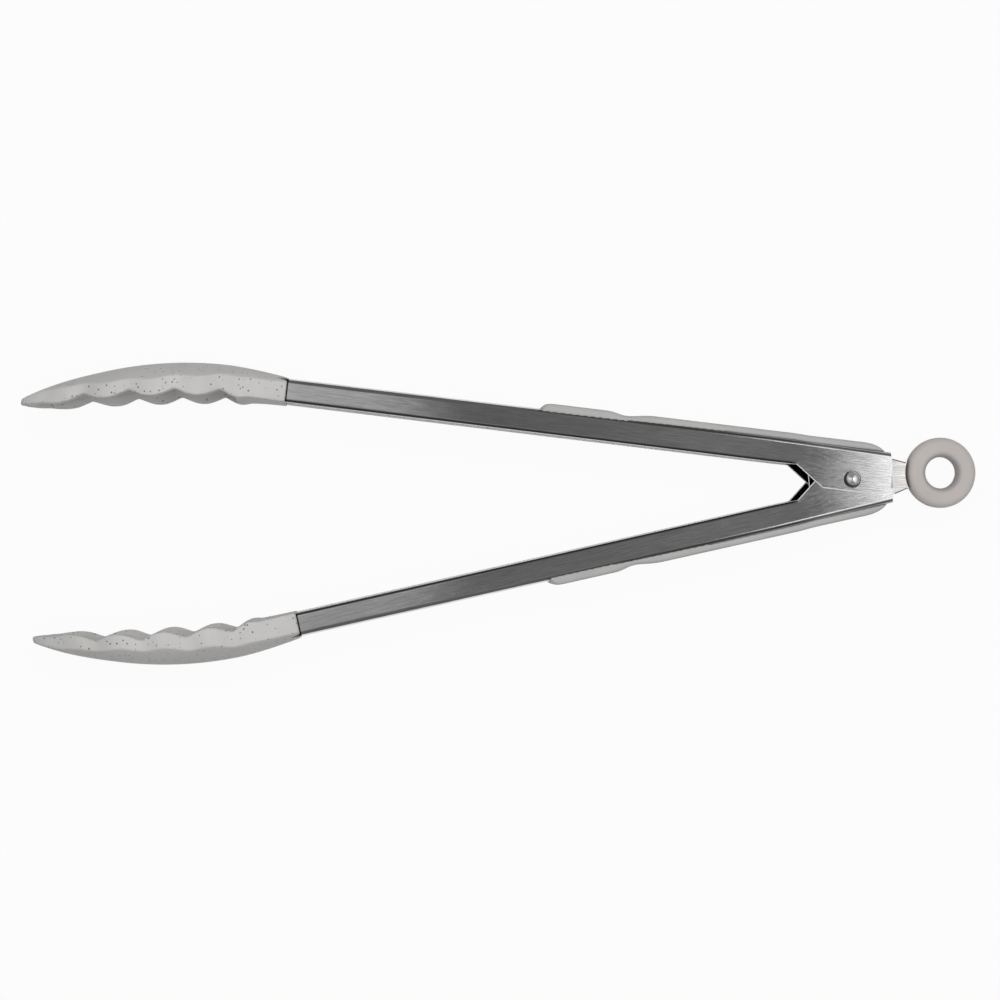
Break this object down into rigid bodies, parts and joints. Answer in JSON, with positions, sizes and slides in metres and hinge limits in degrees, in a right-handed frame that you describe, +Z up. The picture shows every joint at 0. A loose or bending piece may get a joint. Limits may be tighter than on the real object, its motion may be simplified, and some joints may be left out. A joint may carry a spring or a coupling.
{
  "type": "spring-loaded kitchen tongs",
  "caption": "Spring-loaded kitchen tongs: sheet steel arms on a riveted hinge, scalloped silicone heads, soft grips, sliding lock plate and hanging ring.",
  "frame": {"origin": "ground point under the middle of the bounding box, with the tongs lying on the edges of their heads", "axes": "+X along the tongs to the hanging ring, heads towards -X; jaws open along +Y and -Y; +Z up, along the hinge pin"},
  "size_m": [0.3214, 0.1008, 0.0409],
  "materials": {
    "arm_steel": "stainless steel, brushed along the arm",
    "pin_steel": "bright rivet steel",
    "spring_steel": "drawn spring wire",
    "plate_steel": "bright stainless steel sheet",
    "head_silicone": "matt light grey silicone with dark specks",
    "core_plastic": "hard nylon",
    "grip_silicone": "matt light grey soft plastic",
    "ring_silicone": "matt warm grey silicone"
  },
  "bodies": {
    "hinge": {"hinge_pin": "pin_steel", "torsion_spring": "spring_steel"},
    "upper_jaw": {"upper_arm": "arm_steel", "upper_head": "head_silicone", "upper_head_core": "core_plastic", "upper_grip": "grip_silicone"},
    "lower_jaw": {"lower_arm": "arm_steel", "lower_head": "head_silicone", "lower_head_core": "core_plastic", "lower_grip": "grip_silicone"},
    "lock": {"lock_plate": "plate_steel", "hang_ring": "ring_silicone"}
  },
  "joints": [
    {"name": "upper_jaw_hinge", "type": "hinge", "parent": "hinge", "child": "upper_jaw", "pos_m": [0.11641, 0, 0.02046], "axis": [0, 0, 1], "range_deg": [0, 7.7], "stiffness_Nm_per_rad": 1.2, "springref_deg": -20.05, "deforming": ["torsion_spring"]},
    {"name": "lower_jaw_hinge", "type": "hinge", "parent": "hinge", "child": "lower_jaw", "pos_m": [0.11641, 0, 0.02046], "axis": [0, 0, 1], "range_deg": [-7.7, 0]},
    {"name": "lock_slide", "type": "slide", "parent": "hinge", "child": "lock", "axis": [0.9997, 0.0262, 0], "range_m": [0, 0.0085]}
  ],
  "couplings": [
    {"joint": "lower_jaw_hinge", "follows": "upper_jaw_hinge", "ratio": -1}
  ]
}
